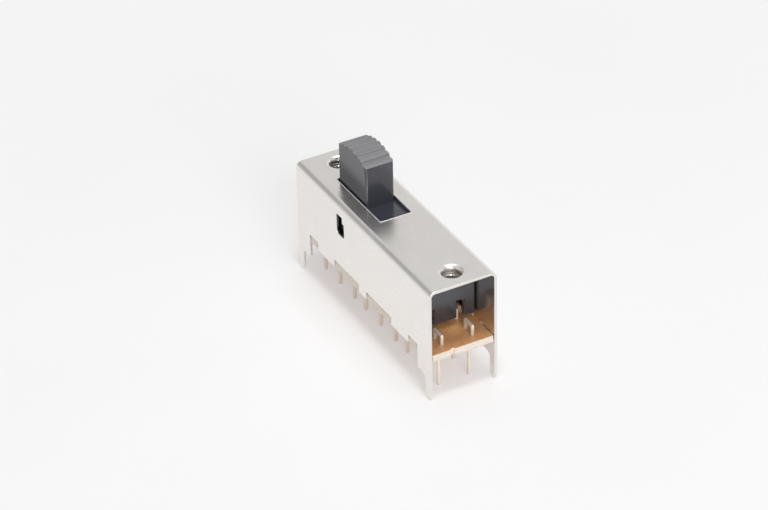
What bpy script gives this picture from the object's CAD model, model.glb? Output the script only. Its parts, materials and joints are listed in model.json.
"""Slide switch: a folded steel housing, a moulded slider and a laminate board with terminals."""
import json
import math

import bmesh
import bpy
from bpy.props import FloatProperty, FloatVectorProperty, IntProperty, PointerProperty
from mathutils import Matrix, Quaternion, Vector


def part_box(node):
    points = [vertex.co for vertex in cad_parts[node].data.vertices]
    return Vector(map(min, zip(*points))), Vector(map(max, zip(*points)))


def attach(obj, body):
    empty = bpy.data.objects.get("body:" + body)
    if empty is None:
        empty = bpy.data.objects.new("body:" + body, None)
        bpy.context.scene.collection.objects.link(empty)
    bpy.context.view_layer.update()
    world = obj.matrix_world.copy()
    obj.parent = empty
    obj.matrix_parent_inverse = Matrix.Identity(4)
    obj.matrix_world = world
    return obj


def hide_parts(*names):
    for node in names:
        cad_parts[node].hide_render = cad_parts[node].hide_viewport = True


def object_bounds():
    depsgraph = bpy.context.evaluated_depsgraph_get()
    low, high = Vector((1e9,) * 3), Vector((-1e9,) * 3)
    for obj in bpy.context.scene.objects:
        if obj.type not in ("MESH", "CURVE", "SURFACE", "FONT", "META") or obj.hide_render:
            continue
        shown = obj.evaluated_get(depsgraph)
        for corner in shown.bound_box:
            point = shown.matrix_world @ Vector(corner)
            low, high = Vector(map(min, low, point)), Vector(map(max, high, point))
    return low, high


bl_info = {
    "name": "Slide Switch",
    "version": (1, 0, 0),
    "blender": (4, 5, 0),
    "location": "View3D > Sidebar > Slide Switch",
    "description": "Finishes the pieces of a slide switch and sets them on a pale floor",
    "category": "Object",
}

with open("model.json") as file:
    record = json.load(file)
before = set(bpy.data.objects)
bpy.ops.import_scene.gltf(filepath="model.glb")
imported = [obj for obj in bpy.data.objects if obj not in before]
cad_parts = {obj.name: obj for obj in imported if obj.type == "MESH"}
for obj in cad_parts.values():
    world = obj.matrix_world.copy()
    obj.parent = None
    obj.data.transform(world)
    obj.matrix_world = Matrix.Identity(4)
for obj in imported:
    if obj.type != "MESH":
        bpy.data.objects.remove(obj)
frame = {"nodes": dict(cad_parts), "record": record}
CAD_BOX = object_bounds()
MM = 0.001
HOLES = [mount for mount in frame["record"]["mounts"] if mount["kind"] == "threaded_hole"]
FLOOR_Z = CAD_BOX[0].z
PLATE_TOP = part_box("housing")[1].z
BOARD_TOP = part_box("base_board")[1].z
KNOB_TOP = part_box("slider")[1].z
TOLERANCE = 0.02 * MM              # how near a point lies to a level or radius that it is on
MERGE_DISTANCE = 0.0005 * MM       # points of the CAD meshes that lie closer than this are one
FLAT_ANGLE = math.radians(1)       # faces that lie flatter than this to each other are one
SHARP_ANGLE = math.radians(32)     # edges that turn more than this are sharp
MIDDLE_REACH = 12 * MM             # the slot and the crimped tabs lie this near to the middle


# ---- colours, nodes and meshes ----

def hex_colour(code):
    """The linear colour, with alpha 1, of an sRGB hex value."""
    channels = [int(code[i:i + 2], 16) / 255 for i in (1, 3, 5)]
    return [c / 12.92 if c <= 0.04045 else ((c + 0.055) / 1.055) ** 2.4 for c in channels] + [1.0]


def set_inputs(owner, node, **inputs):
    """Sets a node's inputs, by name or, as i0, i1 and so on, by place.

    A value is a number or colour, a socket to join, or a node whose first output is joined.
    """
    for name, value in inputs.items():
        by_place = name[0] == "i" and name[1:].isdigit()
        target = node.inputs[int(name[1:]) if by_place else name.replace("_", " ")]
        if isinstance(value, bpy.types.Node):
            value = value.outputs[0]
        if isinstance(value, bpy.types.NodeSocket):
            owner.node_tree.links.new(value, target)
        else:
            target.default_value = value


def add_node(owner, kind, settings=(), stops=(), **inputs):
    """Adds a shader node with its settings, a ramp's (position, colour) stops and its inputs."""
    node = owner.node_tree.nodes.new(kind)
    for name, value in dict(settings).items():
        setattr(node, name, value)
    if stops:
        elements = node.color_ramp.elements
        while len(elements) < len(stops):
            elements.new(0.5)
        for element, (position, colour) in zip(elements, stops):
            element.position = position
            element.color = colour
    set_inputs(owner, node, **inputs)
    return node


def new_material(name):
    """An empty node material, with its Principled shader and its texture coordinates."""
    material = bpy.data.materials.new(name)
    material.use_nodes = True
    material.node_tree.nodes.clear()
    shader = add_node(material, "ShaderNodeBsdfPrincipled")
    add_node(material, "ShaderNodeOutputMaterial", Surface=shader)
    return material, shader, add_node(material, "ShaderNodeTexCoord").outputs


def merged_copy(node):
    """A bmesh of a CAD node with its doubles merged and its flat faces made whole."""
    bm = bmesh.new()
    bm.from_mesh(frame["nodes"][node].data)
    bmesh.ops.remove_doubles(bm, verts=bm.verts, dist=MERGE_DISTANCE)
    bmesh.ops.dissolve_limit(bm, angle_limit=FLAT_ANGLE, verts=bm.verts, edges=bm.edges)
    return bm


def new_mesh_object(bm, name, materials):
    """An object in the scene with the mesh of a bmesh, which is freed, and its materials."""
    # the points, edges and faces go in the order of their places, which is the same on each run
    for elements in (bm.verts, bm.edges, bm.faces):
        by_place = sorted(elements, key=lambda element: sorted(
            v.co[:] for v in getattr(element, "verts", [element])))
        rank = {element: number for number, element in enumerate(by_place)}
        elements.sort(key=rank.get)
    mesh = bpy.data.meshes.new(name)
    bm.to_mesh(mesh)
    bm.free()
    for material in materials:
        mesh.materials.append(material)
    made = bpy.data.objects.new(name, mesh)
    bpy.context.scene.collection.objects.link(made)
    return made


def finish_piece(bm, name, body, materials, replaces=None):
    """Makes a smooth-shaded piece of a bmesh, gives it its finish and lets it ride on its body."""
    for face in bm.faces:
        face.smooth = True
    piece = new_mesh_object(bm, name, materials)
    if replaces:
        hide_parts(replaces)
    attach(piece, body)
    return piece


def weigh_edges(bm, weight_of):
    """Gives each sharp edge the bevel weight that weight_of returns for it, and keeps 0 sharp."""
    weight = bm.edges.layers.float.new("bevel_weight_edge")
    for edge in bm.edges:
        if len(edge.link_faces) == 2 and edge.calc_face_angle() > SHARP_ANGLE:
            edge[weight] = weight_of(edge)
            edge.smooth = edge[weight] > 0


def ease_edges(piece, width, segments, limit):
    """Rounds the piece's sharp or weighted edges and keeps the shading of its flat faces flat."""
    bevel = piece.modifiers.new("eased_edges", "BEVEL")
    bevel.width = width
    bevel.segments = segments
    bevel.limit_method = limit
    bevel.angle_limit = SHARP_ANGLE
    bevel.use_clamp_overlap = False
    shading = piece.modifiers.new("flat_faces", "WEIGHTED_NORMAL")
    shading.keep_sharp = True


def near_middle(edge):
    """Whether an edge of the housing lies in its middle part, with the slot and the tabs."""
    return all(abs(v.co.x) < MIDDLE_REACH for v in edge.verts)


def on_slot_rim(edge):
    """Whether an edge of the housing lies on the upper rim of the knob's slot."""
    return near_middle(edge) and all(v.co.z > PLATE_TOP - TOLERANCE for v in edge.verts)


def on_tab(edge):
    """Whether an edge of the housing lies on a tab that is crimped under the board."""
    return near_middle(edge) and all(v.co.z < BOARD_TOP - TOLERANCE for v in edge.verts)


# ---- materials ----

def rolled_steel(name, dark, light, roughness):
    """Cold-rolled steel strip, with the fine grain that the rolls leave along it."""
    material, shader, coordinates = new_material(name)
    place = coordinates["Object"]
    # rolling grain, 25 times as long as it is wide, and coarser than the real grain to show at all
    along = add_node(material, "ShaderNodeMapping", Vector=place, Scale=(0.04, 1.0, 1.0))
    grain = add_node(material, "ShaderNodeTexNoise", Vector=along, Detail=3.0, Roughness=0.6,
                     Scale=1 / bpy.context.scene.switch_metal.grain_spacing)
    # faint clouding of the surface, some 3 mm across
    cloud = add_node(material, "ShaderNodeTexNoise", Vector=place, Scale=1 / (3 * MM),
                     Detail=4.0, Roughness=0.55)
    tone = add_node(material, "ShaderNodeValToRGB", Fac=cloud, stops=[(0.30, dark), (0.70, light)])
    rough = add_node(material, "ShaderNodeMapRange", Value=cloud, i1=0.3, i2=0.7,
                     i3=roughness - 0.01, i4=roughness + 0.02)
    bump = add_node(material, "ShaderNodeBump", Height=grain, Strength=0.12, Distance=0.004 * MM)
    set_inputs(material, shader, Base_Color=tone, Metallic=1.0, Roughness=rough, Normal=bump)
    return material


def tin_plating():
    """Bright tin plating on rolled steel, which the folding left whole: a soft, warm mirror."""
    metal = bpy.context.scene.switch_metal
    return rolled_steel("tin_plated_steel", metal.dark_colour, metal.light_colour, metal.roughness)


def cut_thread():
    """Steel that the tap has cut through its plating: greyer, with soft reflections."""
    thread = bpy.context.scene.switch_thread
    return bpy.data.materials.get("cut_steel_thread") or rolled_steel(
        "cut_steel_thread", thread.dark_colour, thread.light_colour, thread.roughness)


def torn_edge():
    """Bare steel torn up by the punch at the edge of a hole.

    Its fine, broken grain scatters the light, so it looks whitish beside the plated face.
    """
    metal = bpy.context.scene.switch_metal
    material, shader, coordinates = new_material("torn_steel_edge")
    # broken grain of the tear, 0.15 mm apart
    tears = add_node(material, "ShaderNodeTexNoise", Vector=coordinates["Object"],
                     Scale=1 / (0.15 * MM), Detail=3.0)
    tone = add_node(material, "ShaderNodeValToRGB", Fac=tears,
                    stops=[(0.30, metal.torn_dark_colour), (0.70, metal.torn_light_colour)])
    rough = add_node(material, "ShaderNodeMapRange", Value=tears, i3=0.6, i4=0.85)
    bump = add_node(material, "ShaderNodeBump", Height=tears, Strength=0.3, Distance=0.01 * MM)
    set_inputs(material, shader, Base_Color=tone, Metallic=1.0, Roughness=rough, Normal=bump)
    return material


def moulded_plastic():
    """Black glass-filled polyamide, injection moulded, with a spark-eroded crown.

    The polished mould gives the sides a soft gloss; the eroded crown is matt and looks grey where
    light falls on it.
    """
    slider = bpy.context.scene.switch_slider
    material, shader, coordinates = new_material("black_polyamide")
    height = add_node(material, "ShaderNodeSeparateXYZ", Vector=coordinates["Object"])
    facing = add_node(material, "ShaderNodeSeparateXYZ", Vector=coordinates["Normal"])
    # the crown is what faces up in the last few millimetres below the knob's top
    high_up = add_node(material, "ShaderNodeMapRange", Value=height.outputs["Z"],
                       i1=KNOB_TOP - 3.0 * MM, i2=KNOB_TOP - 0.6 * MM)
    upward = add_node(material, "ShaderNodeMapRange", Value=facing.outputs["Z"], i1=0.25, i2=0.8)
    crown = add_node(material, "ShaderNodeMath", {"operation": "MULTIPLY"}, i0=high_up, i1=upward)
    # speckle of the eroded mould, 0.09 mm apart
    speckle = add_node(material, "ShaderNodeTexNoise", Vector=coordinates["Object"],
                       Scale=1 / (0.09 * MM), Detail=2.0)
    side_tone = add_node(material, "ShaderNodeValToRGB", Fac=speckle,
                         stops=[(0.35, slider.side_dark_colour), (0.70, slider.side_light_colour)])
    crown_tone = add_node(material, "ShaderNodeValToRGB", Fac=speckle, stops=[
        (0.35, slider.crown_dark_colour), (0.70, slider.crown_light_colour)])
    tone = add_node(material, "ShaderNodeMix", {"data_type": "RGBA"}, i0=crown, i6=side_tone,
                    i7=crown_tone)
    rough = add_node(material, "ShaderNodeMapRange", Value=crown, i3=slider.side_roughness,
                     i4=slider.crown_roughness)
    bump = add_node(material, "ShaderNodeBump", Height=speckle, Strength=0.2, Distance=0.01 * MM)
    set_inputs(material, shader, Base_Color=tone.outputs[2], Roughness=rough, IOR=1.70, Normal=bump)
    return material


def phenolic_laminate():
    """Phenolic paper laminate, pressed between polished plates and punched to shape.

    The faces are glossy and orange-brown; the punched edges show the pale, torn plies of paper.
    """
    board = bpy.context.scene.switch_board
    material, shader, coordinates = new_material("phenolic_paper_laminate")
    place = coordinates["Object"]
    facing = add_node(material, "ShaderNodeSeparateXYZ", Vector=coordinates["Normal"])
    level = add_node(material, "ShaderNodeMath", {"operation": "ABSOLUTE"}, i0=facing.outputs["Z"])
    on_face = add_node(material, "ShaderNodeMapRange", Value=level, i1=0.5, i2=0.8)
    # paper fibres 0.35 mm apart, three times as long
    fibre_place = add_node(material, "ShaderNodeMapping", Vector=place, Scale=(0.35, 1.0, 1.0))
    fibres = add_node(material, "ShaderNodeTexNoise", Vector=fibre_place, Scale=1 / (0.35 * MM),
                      Detail=5.0, Roughness=0.65)
    face_tone = add_node(material, "ShaderNodeValToRGB", Fac=fibres, stops=[
        (0.30, board.face_dark_colour), (0.52, board.face_colour), (0.75, board.face_light_colour)])
    # the plies, seen in the cut as lines eight times as long as they are thick
    ply_place = add_node(material, "ShaderNodeMapping", Vector=place, Scale=(0.12, 0.12, 1.0))
    plies = add_node(material, "ShaderNodeTexNoise", Vector=ply_place,
                     Scale=1 / board.ply_thickness, Detail=3.0, Roughness=0.7)
    edge_tone = add_node(material, "ShaderNodeValToRGB", Fac=plies, stops=[
        (0.30, board.edge_dark_colour), (0.50, board.edge_colour), (0.72, board.edge_light_colour)])
    tone = add_node(material, "ShaderNodeMix", {"data_type": "RGBA"}, i0=on_face, i6=edge_tone,
                    i7=face_tone)
    rough = add_node(material, "ShaderNodeMapRange", Value=on_face, i3=0.75, i4=0.32)
    bump = add_node(material, "ShaderNodeBump", Height=plies, Strength=0.3, Distance=0.02 * MM)
    set_inputs(material, shader, Base_Color=tone.outputs[2], Roughness=rough, IOR=1.55, Normal=bump)
    return material


def tinned_wire():
    """Square brass wire, drawn, formed and dipped in tin.

    The tin has dulled: it is whitish and only half a mirror, with faint die lines along the wire.
    """
    terminals = bpy.context.scene.switch_terminals
    material, shader, coordinates = new_material("tinned_brass_wire")
    # die lines 0.08 mm apart and twelve times as long, upright like the shanks and pins
    drawn = add_node(material, "ShaderNodeMapping", Vector=coordinates["Object"],
                     Scale=(1.0, 1.0, 0.08))
    lines = add_node(material, "ShaderNodeTexNoise", Vector=drawn, Scale=1 / (0.08 * MM),
                     Detail=2.0)
    tone = add_node(material, "ShaderNodeValToRGB", Fac=lines,
                    stops=[(0.30, terminals.dark_colour), (0.70, terminals.light_colour)])
    rough = add_node(material, "ShaderNodeMapRange", Value=lines, i1=0.3, i2=0.7, i3=0.32, i4=0.42)
    bump = add_node(material, "ShaderNodeBump", Height=lines, Strength=0.2, Distance=0.004 * MM)
    set_inputs(material, shader, Base_Color=tone, Metallic=0.4, Roughness=rough, Normal=bump)
    return material


def silvered_bronze():
    """Phosphor bronze strip with silver plating, stamped and bent.

    The silver is bright and a little warm, with a faint grain from rolling.
    """
    contacts = bpy.context.scene.switch_contacts
    material, shader, coordinates = new_material("silver_plated_bronze")
    # rolling grain 0.08 mm wide and twenty times as long
    along = add_node(material, "ShaderNodeMapping", Vector=coordinates["Object"],
                     Scale=(0.05, 1.0, 1.0))
    grain = add_node(material, "ShaderNodeTexNoise", Vector=along, Scale=1 / (0.08 * MM),
                     Detail=2.0)
    tone = add_node(material, "ShaderNodeValToRGB", Fac=grain,
                    stops=[(0.30, contacts.dark_colour), (0.70, contacts.light_colour)])
    bump = add_node(material, "ShaderNodeBump", Height=grain, Strength=0.2, Distance=0.004 * MM)
    set_inputs(material, shader, Base_Color=tone, Metallic=1.0, Roughness=contacts.roughness,
               Normal=bump)
    return material


def white_paper():
    """A sheet of matt white paper: an even, pale ground that keeps the object's shadow.

    Where it is seen directly, mirrored or through something, part of it is a plain white that
    keeps the shadow pale.
    """
    material, shader, coordinates = new_material("matt_white_paper")
    place = coordinates["Object"]
    # slight unevenness of the sheet, 40 mm across
    tooth = add_node(material, "ShaderNodeTexNoise", Vector=place, Scale=1 / (40 * MM), Detail=2.0)
    tone = add_node(material, "ShaderNodeValToRGB", Fac=tooth,
                    stops=[(0.30, hex_colour("#f8f8f8")), (0.70, hex_colour("#fbfbfb"))])
    set_inputs(material, shader, Base_Color=tone, Roughness=0.9, Specular_IOR_Level=0.0)
    rays = add_node(material, "ShaderNodeLightPath").outputs
    mirrored = add_node(material, "ShaderNodeMath", {"operation": "MAXIMUM"},
                        i0=rays["Is Glossy Ray"], i1=rays["Is Transmission Ray"])
    seen = add_node(material, "ShaderNodeMath", {"operation": "MAXIMUM"},
                    i0=rays["Is Camera Ray"], i1=mirrored)
    # the plain part grows with the distance from the object, where no shadow falls
    away = add_node(material, "ShaderNodeVectorMath", {"operation": "LENGTH"}, i0=place)
    part = add_node(material, "ShaderNodeMapRange", Value=away.outputs["Value"],
                    i1=50 * MM, i2=350 * MM, i3=0.4, i4=1.0)
    share = add_node(material, "ShaderNodeMath", {"operation": "MULTIPLY"}, i0=seen, i1=part)
    plain = add_node(material, "ShaderNodeEmission", Color=hex_colour("#fcfcfd"), Strength=1.0)
    surface = add_node(material, "ShaderNodeMixShader", i0=share, i1=shader, i2=plain)
    set_inputs(material, material.node_tree.nodes["Material Output"], Surface=surface)
    return material


# ---- settings ----

def size_setting(name, description, default, smallest=0.0):
    """A length of a piece, in metres."""
    return FloatProperty(name=name, description=description, default=default, min=smallest,
                         subtype="DISTANCE", unit="LENGTH")


def angle_setting(name, description, degrees):
    """An angle of the camera."""
    return FloatProperty(name=name, description=description, default=math.radians(degrees),
                         subtype="ANGLE", unit="ROTATION")


def level_setting(name, description, default):
    """A strength of light, where 1 is white."""
    return FloatProperty(name=name, description=description, default=default, min=0.0)


def roughness_setting(name, description, default):
    """A softness of reflections, from 0, a mirror, to 1, matt."""
    return FloatProperty(name=name, description=description, default=default, min=0.0, max=1.0,
                         subtype="FACTOR")


def colour_setting(name, description, code):
    """A colour of a finish, from its sRGB hex value."""
    return FloatVectorProperty(name=name, description=description, default=hex_colour(code),
                               size=4, min=0.0, max=1.0, subtype="COLOR")


class SwitchMetal(bpy.types.PropertyGroup):
    """Sizes and finish of the folded housing."""
    edge_roll: size_setting("Edge roll", "Rounding of the punched edges of the sheet", 0.07 * MM)
    burr_width: size_setting("Burr width", "Width of the burr round the knob's slot",
                             0.10 * MM, 0.02 * MM)
    burr_height: size_setting("Burr height", "Height of the burr round the knob's slot",
                              0.08 * MM, 0.01 * MM)
    grain_spacing: size_setting("Grain spacing", "Distance between lines of the rolling grain",
                                0.12 * MM, 0.01 * MM)
    roughness: roughness_setting("Roughness", "Softness of the plating's reflections", 0.26)
    dark_colour: colour_setting("Dark plating", "Darker tone of the tin plating", "#ebe7e3")
    light_colour: colour_setting("Light plating", "Lighter tone of the tin plating", "#eeebe7")
    torn_dark_colour: colour_setting("Dark burr", "Darker tone of the torn edge", "#cfcdcd")
    torn_light_colour: colour_setting("Light burr", "Lighter tone of the torn edge", "#e2e0df")


class SwitchThread(bpy.types.PropertyGroup):
    """Form and finish of the thread in the tapped holes."""
    pitch: size_setting("Pitch", "Distance from one turn of the thread to the next",
                        0.5 * MM, 0.2 * MM)
    depth: size_setting("Depth", "Depth of the thread from its crest to its root",
                        0.13 * MM, 0.05 * MM)
    steps: IntProperty(name="Steps per turn", description="Straight runs in one turn of the thread",
                       default=40, min=12, max=96)
    roughness: roughness_setting("Roughness", "Softness of the cut steel's reflections", 0.50)
    dark_colour: colour_setting("Dark steel", "Darker tone of the cut steel", "#a5a09a")
    light_colour: colour_setting("Light steel", "Lighter tone of the cut steel", "#b4afa9")


class SwitchSlider(bpy.types.PropertyGroup):
    """Edges and finish of the moulded slider."""
    edge_radius: size_setting("Edge radius", "Rounding of the moulded edges", 0.06 * MM)
    side_roughness: roughness_setting("Side roughness", "Softness of the gloss on the sides", 0.20)
    crown_roughness: roughness_setting("Crown roughness", "Mattness of the ribbed crown", 0.55)
    side_dark_colour: colour_setting("Dark sides", "Darker tone of the plastic", "#35363e")
    side_light_colour: colour_setting("Light sides", "Lighter tone of the plastic", "#3c3d46")
    crown_dark_colour: colour_setting("Dark crown", "Darker tone of the crown", "#747476")
    crown_light_colour: colour_setting("Light crown", "Lighter tone of the crown", "#818183")


class SwitchBoard(bpy.types.PropertyGroup):
    """Edges and finish of the laminate terminal board."""
    edge_break: size_setting("Edge break", "Rounding of the laminate's punched edges", 0.04 * MM)
    ply_thickness: size_setting("Ply thickness", "Thickness of one ply of paper in the cut edge",
                                0.15 * MM, 0.02 * MM)
    face_dark_colour: colour_setting("Dark face", "Darkest tone of the faces", "#c58e5c")
    face_colour: colour_setting("Face", "Middle tone of the faces", "#d09a69")
    face_light_colour: colour_setting("Light face", "Lightest tone of the faces", "#daa676")
    edge_dark_colour: colour_setting("Dark edge", "Darkest tone of the cut edges", "#e2d3c2")
    edge_colour: colour_setting("Edge", "Middle tone of the cut edges", "#eee2d3")
    edge_light_colour: colour_setting("Light edge", "Lightest tone of the cut edges", "#f5ece0")


class SwitchTerminals(bpy.types.PropertyGroup):
    """Sizes and finish of the formed wire terminals."""
    corner: size_setting("Wire corner", "Rounding of the square wire's corners", 0.15 * MM)
    dark_colour: colour_setting("Dark tin", "Darker tone of the tinned wire", "#f5e8d9")
    light_colour: colour_setting("Light tin", "Lighter tone of the tinned wire", "#fcf2e5")


class SwitchContacts(bpy.types.PropertyGroup):
    """Finish of the contact clips."""
    roughness: roughness_setting("Roughness", "Softness of the silver's reflections", 0.24)
    dark_colour: colour_setting("Dark silver", "Darker tone of the silver", "#d2cbbd")
    light_colour: colour_setting("Light silver", "Lighter tone of the silver", "#e6e1d6")


class SwitchStage(bpy.types.PropertyGroup):
    """Camera, floor and room."""
    aim: FloatVectorProperty(name="Aim", description="Point that the camera looks at",
                             default=(-1.61 * MM, -0.70 * MM, 9.54 * MM), subtype="XYZ",
                             unit="LENGTH")
    distance: size_setting("Distance", "From the camera to the point it looks at", 444.8 * MM)
    azimuth: angle_setting("Azimuth", "Turn of the camera round the switch", 61.811)
    elevation: angle_setting("Elevation", "Height of the camera above the horizon", 34.011)
    roll: angle_setting("Roll", "Tilt of the camera about its line of sight", -1.320)
    lens: FloatProperty(name="Focal length", description="Focal length of the lens",
                        default=162.99, subtype="DISTANCE_CAMERA")
    floor_reach: size_setting("Floor", "From the middle of the floor to its sides", 2.0)
    background: level_setting("Background", "Level of the room where it is seen directly", 0.97)
    sky: level_setting("Sky level", "Strength of the even light from all round", 0.27)
    reflected_room: level_setting("Room", "Level of most of the room in reflections", 0.69)
    reflected_dim: level_setting("Dim patch", "Level of its dim patch in reflections", 0.43)
    reflected_bright: level_setting("Bright side", "Level of its bright side in reflections", 0.95)


SETTINGS = {
    "switch_metal": SwitchMetal,
    "switch_thread": SwitchThread,
    "switch_slider": SwitchSlider,
    "switch_board": SwitchBoard,
    "switch_terminals": SwitchTerminals,
    "switch_contacts": SwitchContacts,
    "switch_stage": SwitchStage,
}


# ---- operators ----

class SWITCH_OT_housing(bpy.types.Operator):
    """Finish the folded housing, with rolled edges and a groove for each thread"""
    bl_idname = "switch.housing"
    bl_label = "Housing"

    def execute(self, context):
        bm = merged_copy("housing")
        for hole in HOLES:
            self.groove(bm, hole, context.scene.switch_thread.depth)
        # the slot's rim has a burr, and the tabs' bends are too tight for a rounding
        weigh_edges(bm, lambda edge: 0.0 if on_tab(edge) or on_slot_rim(edge) else 1.0)
        piece = finish_piece(bm, "folded_housing", "base",
                             [tin_plating(), cut_thread()], "housing")
        ease_edges(piece, context.scene.switch_metal.edge_roll, 2, "WEIGHT")
        return {"FINISHED"}

    def groove(self, bm, hole, depth):
        """Widens the middle of a hole's wall to the root of its thread."""
        radius, length = hole["dims"]["r_mm"] * MM, hole["dims"]["length_mm"] * MM
        centre = Vector(hole["pos_m"])
        margin = 0.04 * MM             # left as it is at each end of the hole
        low, high = centre.z - length / 2 + margin, centre.z + length / 2 - margin

        def wall_faces():
            return [f for f in bm.faces if all(
                abs((v.co - centre).xy.length - radius) < TOLERANCE
                and low - 2 * margin < v.co.z < high + 2 * margin for v in f.verts)]

        for level in (low, high):
            wall = wall_faces()
            edges = {e for f in wall for e in f.edges}
            verts = {v for f in wall for v in f.verts}
            bmesh.ops.bisect_plane(bm, geom=[*verts, *edges, *wall], dist=MERGE_DISTANCE,
                                   plane_co=(0, 0, level), plane_no=(0, 0, 1))
        middle = [f for f in wall_faces() if low < f.calc_center_median().z < high]
        if not middle:
            raise RuntimeError("the wall of %s was not found" % hole["name"])
        made = bmesh.ops.extrude_face_region(bm, geom=middle)["geom"]
        bmesh.ops.delete(bm, geom=middle, context="FACES_ONLY")
        for face in (g for g in made if isinstance(g, bmesh.types.BMFace)):
            face.material_index = 1
        widen = (radius + depth) / radius
        bmesh.ops.scale(bm, verts=[g for g in made if isinstance(g, bmesh.types.BMVert)],
                        vec=(widen, widen, 1), space=Matrix.Translation(-centre))


class SWITCH_OT_burr(bpy.types.Operator):
    """Raise the fine burr that the punch leaves round the knob's slot"""
    bl_idname = "switch.burr"
    bl_label = "Slot burr"

    def execute(self, context):
        metal = context.scene.switch_metal
        bm = merged_copy("housing")
        rim = {v for e in bm.edges if on_slot_rim(e) for v in e.verts}
        bmesh.ops.delete(bm, geom=[v for v in bm.verts if v not in rim], context="VERTS")
        corner = 0.5 * MM              # the burr turns corners about points this far in from them
        low, high = ([side(v.co[axis] for v in rim) - way * corner for axis in (0, 1)]
                     for side, way in ((min, -1), (max, 1)))

        def shift(verts, out, up):
            """Moves the rim outwards and upwards by shares of the burr's width and height."""
            for v in verts:
                core = Vector([*(min(max(v.co[axis], low[axis]), high[axis]) for axis in (0, 1)),
                               v.co.z])
                v.co += (v.co - core).normalized() * out * metal.burr_width
                v.co.z += up * metal.burr_height

        # the section runs from a foot just inside the slot over the crest to a foot in the plate
        shift(bm.verts, -0.05, -0.3)
        ring = first = list(bm.edges)
        for out, up in ((0.0, 1.0), (0.3, 0.3), (0.4, -0.3), (0.35, -0.8)):
            made = bmesh.ops.extrude_edge_only(bm, edges=ring)["geom"]
            verts = {g for g in made if isinstance(g, bmesh.types.BMVert)}
            shift(verts, out, up)
            ring = [g for g in made
                    if isinstance(g, bmesh.types.BMEdge) and all(v in verts for v in g.verts)]
        bmesh.ops.bridge_loops(bm, edges=first + ring)
        bmesh.ops.recalc_face_normals(bm, faces=bm.faces)
        finish_piece(bm, "slot_burr", "base", [torn_edge()])
        return {"FINISHED"}


class SWITCH_OT_threads(bpy.types.Operator):
    """Cut the thread of each tapped hole as a helical ridge"""
    bl_idname = "switch.threads"
    bl_label = "Threads"

    def execute(self, context):
        thread = context.scene.switch_thread
        clear = 0.01 * MM              # from the ridge to the groove's radius and to the bore's
        half_root, half_crest = 0.24 * thread.pitch, 0.03 * thread.pitch
        lead = 0.3 * thread.pitch      # left free at each end of the hole
        for hole in HOLES:
            radius, length = hole["dims"]["r_mm"] * MM, hole["dims"]["length_mm"] * MM
            centre = Vector(hole["pos_m"])
            rise = length - 2 * lead
            turns = rise / thread.pitch
            root, crest = radius + thread.depth - clear, radius + clear
            bm = bmesh.new()
            verts = [bm.verts.new((centre.x + r, centre.y, centre.z - rise / 2 + z)) for r, z in (
                (root, -half_root), (crest, -half_crest), (crest, half_crest), (root, half_root))]
            face = bm.faces.new(verts)
            steps = max(1, round(thread.steps * turns))
            bmesh.ops.spin(bm, geom=[face, *verts, *face.edges], cent=centre, axis=(0, 0, 1),
                           dvec=(0, 0, rise / steps), angle=2 * math.pi * turns, steps=steps,
                           use_merge=False)
            bmesh.ops.recalc_face_normals(bm, faces=bm.faces)
            finish_piece(bm, hole["name"].replace("tapped_hole", "thread"), "base",
                         [cut_thread()])
        return {"FINISHED"}


class SWITCH_OT_slider(bpy.types.Operator):
    """Finish the moulded slider with its ribbed knob"""
    bl_idname = "switch.slider"
    bl_label = "Slider"

    def execute(self, context):
        bm = merged_copy("slider")
        # the mould's outer corners are rounded, and its inner ones are sharp
        weigh_edges(bm, lambda edge: float(edge.is_convex))
        piece = finish_piece(bm, "moulded_slider", "slide",
                             [moulded_plastic()], "slider")
        ease_edges(piece, context.scene.switch_slider.edge_radius, 2, "WEIGHT")
        return {"FINISHED"}


class SWITCH_OT_board(bpy.types.Operator):
    """Finish the laminate terminal board"""
    bl_idname = "switch.board"
    bl_label = "Terminal board"

    def execute(self, context):
        piece = finish_piece(merged_copy("base_board"), "laminate_board", "base",
                             [phenolic_laminate()], "base_board")
        ease_edges(piece, context.scene.switch_board.edge_break, 1, "ANGLE")
        return {"FINISHED"}


class SWITCH_OT_terminals(bpy.types.Operator):
    """Finish the terminals, each bent from square wire with rounded corners"""
    bl_idname = "switch.terminals"
    bl_label = "Terminals"

    def execute(self, context):
        tin = tinned_wire()
        for node in sorted(n for n in frame["nodes"] if n.startswith("terminal_")):
            piece = finish_piece(merged_copy(node), node.replace("terminal", "wire"), "base",
                                 [tin], node)
            ease_edges(piece, context.scene.switch_terminals.corner, 3, "ANGLE")
        return {"FINISHED"}


class SWITCH_OT_contacts(bpy.types.Operator):
    """Give the contact clips their plated finish"""
    bl_idname = "switch.contacts"
    bl_label = "Contact clips"

    def execute(self, context):
        silver = silvered_bronze()
        for node, clip in frame["nodes"].items():
            if node.startswith("contact_"):
                clip.data.materials.clear()
                clip.data.materials.append(silver)
        return {"FINISHED"}


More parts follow.
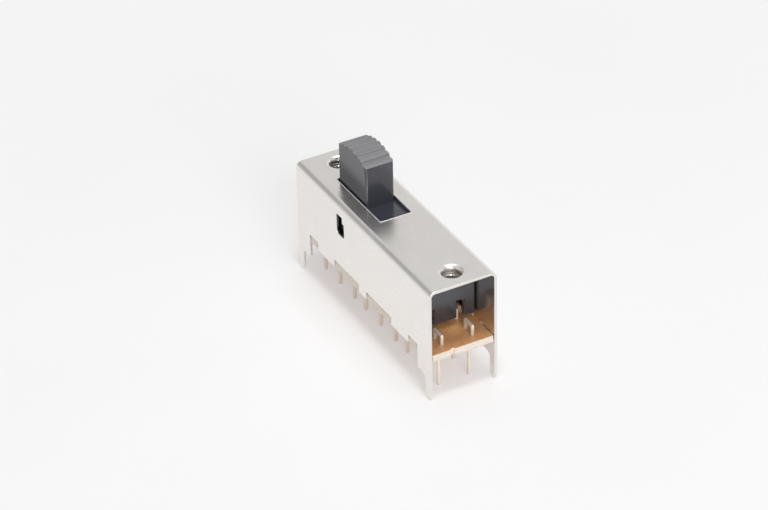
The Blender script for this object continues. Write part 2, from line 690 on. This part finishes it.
class SWITCH_OT_stage(bpy.types.Operator):
    """Set up the floor, the lights and the camera"""
    bl_idname = "switch.stage"
    bl_label = "Stage"

    def execute(self, context):
        scene, stage = context.scene, context.scene.switch_stage
        scene.view_settings.view_transform = "Standard"
        self.floor(stage)
        self.world(scene, stage)
        self.lights(scene)
        self.camera(scene, stage)
        return {"FINISHED"}

    def floor(self, stage):
        bm = bmesh.new()
        bmesh.ops.create_grid(bm, x_segments=1, y_segments=1, size=stage.floor_reach)
        bmesh.ops.translate(bm, verts=bm.verts, vec=(0, 0, FLOOR_Z))
        new_mesh_object(bm, "paper_floor", [white_paper()])

    def world(self, scene, stage):
        world = bpy.data.worlds.new("pale_studio")
        world.use_nodes = True
        world.node_tree.nodes.clear()
        rays = add_node(world, "ShaderNodeLightPath").outputs
        seen = add_node(world, "ShaderNodeMath", {"operation": "MAXIMUM"},
                        i0=rays["Is Camera Ray"], i1=rays["Is Transmission Ray"])
        direction = add_node(world, "ShaderNodeTexCoord").outputs["Generated"]
        # in reflections the room brightens towards its +Y side, most of all near the ground
        sideways = add_node(world, "ShaderNodeVectorMath", {"operation": "DOT_PRODUCT"},
                            i0=direction, i1=(-0.5, 1.0, -0.5))
        bright = add_node(world, "ShaderNodeMapRange", Value=sideways.outputs["Value"],
                          i1=0.45, i2=1.05, i3=stage.reflected_room, i4=stage.reflected_bright)
        # and it has one dim, soft-edged patch, some 40 degrees across, high on its -X, -Y side
        patch = add_node(world, "ShaderNodeVectorMath", {"operation": "DOT_PRODUCT"},
                         i0=direction, i1=Vector((-0.73, -0.42, 0.53)).normalized())
        room = add_node(world, "ShaderNodeMapRange", {"interpolation_type": "SMOOTHSTEP"},
                        Value=patch.outputs["Value"], i1=0.88, i2=0.99, i3=bright,
                        i4=stage.reflected_dim)
        level = add_node(world, "ShaderNodeMapRange", Value=rays["Is Glossy Ray"],
                         i3=stage.sky, i4=room)
        strength = add_node(world, "ShaderNodeMapRange", Value=seen, i3=level,
                            i4=stage.background)
        sky = add_node(world, "ShaderNodeBackground", Color=(1, 1, 1, 1), Strength=strength)
        add_node(world, "ShaderNodeOutputWorld", Surface=sky)
        scene.world = world

    def lights(self, scene):
        # each: name, place, width and depth in metres, power in watts; all look at the origin
        for name, place, width, depth, power in (
            ("lamp_over", (0.08, -0.05, 0.64), 0.14, 0.14, 1.35),
            ("softbox_over", (0.08, 0.11, 0.63), 0.80, 0.25, 0.95),
            ("softbox_front", (0.75, -0.15, 0.42), 0.45, 0.45, 3.2),
        ):
            lamp = bpy.data.lights.new(name, "AREA")
            lamp.shape = "RECTANGLE"
            lamp.size, lamp.size_y = width, depth
            lamp.energy = power
            light = bpy.data.objects.new(name, lamp)
            light.location = place
            light.rotation_mode = "QUATERNION"
            light.rotation_quaternion = Vector((0, 0, 1)).rotation_difference(Vector(place))
            scene.collection.objects.link(light)

    def camera(self, scene, stage):
        lens = bpy.data.cameras.new("view")
        lens.sensor_width = 36.0
        lens.lens = stage.lens
        lens.clip_start, lens.clip_end = 0.01, 10.0
        camera = bpy.data.objects.new("view", lens)
        level = math.cos(stage.elevation)
        back = Vector((math.sin(stage.azimuth) * level, -math.cos(stage.azimuth) * level,
                       math.sin(stage.elevation)))
        camera.location = Vector(stage.aim) + stage.distance * back
        camera.rotation_mode = "QUATERNION"
        roll = Quaternion((0, 0, 1), stage.roll)
        camera.rotation_quaternion = back.to_track_quat("Z", "Y") @ roll
        scene.collection.objects.link(camera)
        scene.camera = camera


OPERATORS = (SWITCH_OT_housing, SWITCH_OT_burr, SWITCH_OT_threads, SWITCH_OT_slider,
             SWITCH_OT_board, SWITCH_OT_terminals, SWITCH_OT_contacts, SWITCH_OT_stage)


class SWITCH_PT_panel(bpy.types.Panel):
    """Lists the pieces of the switch with their settings"""
    bl_idname = "SWITCH_PT_panel"
    bl_label = "Slide Switch"
    bl_space_type = "VIEW_3D"
    bl_region_type = "UI"
    bl_category = "Slide Switch"

    def draw(self, context):
        for operator in OPERATORS:
            self.layout.operator(operator.bl_idname)
        for name in SETTINGS:
            group = getattr(context.scene, name)
            box = self.layout.box()
            box.label(text=name.replace("_", " ").capitalize())
            for key in group.bl_rna.properties.keys():
                if key not in ("rna_type", "name"):
                    box.prop(group, key)


CLASSES = (*SETTINGS.values(), *OPERATORS, SWITCH_PT_panel)


def register():
    for cls in CLASSES:
        bpy.utils.register_class(cls)
    for name, cls in SETTINGS.items():
        setattr(bpy.types.Scene, name, PointerProperty(type=cls))


def unregister():
    for name in SETTINGS:
        delattr(bpy.types.Scene, name)
    for cls in reversed(CLASSES):
        bpy.utils.unregister_class(cls)


def main():
    """Makes every piece and the stage."""
    register()
    for operator in OPERATORS:
        group, name = operator.bl_idname.split(".")
        getattr(getattr(bpy.ops, group), name)()


if __name__ == "__main__":
    main()
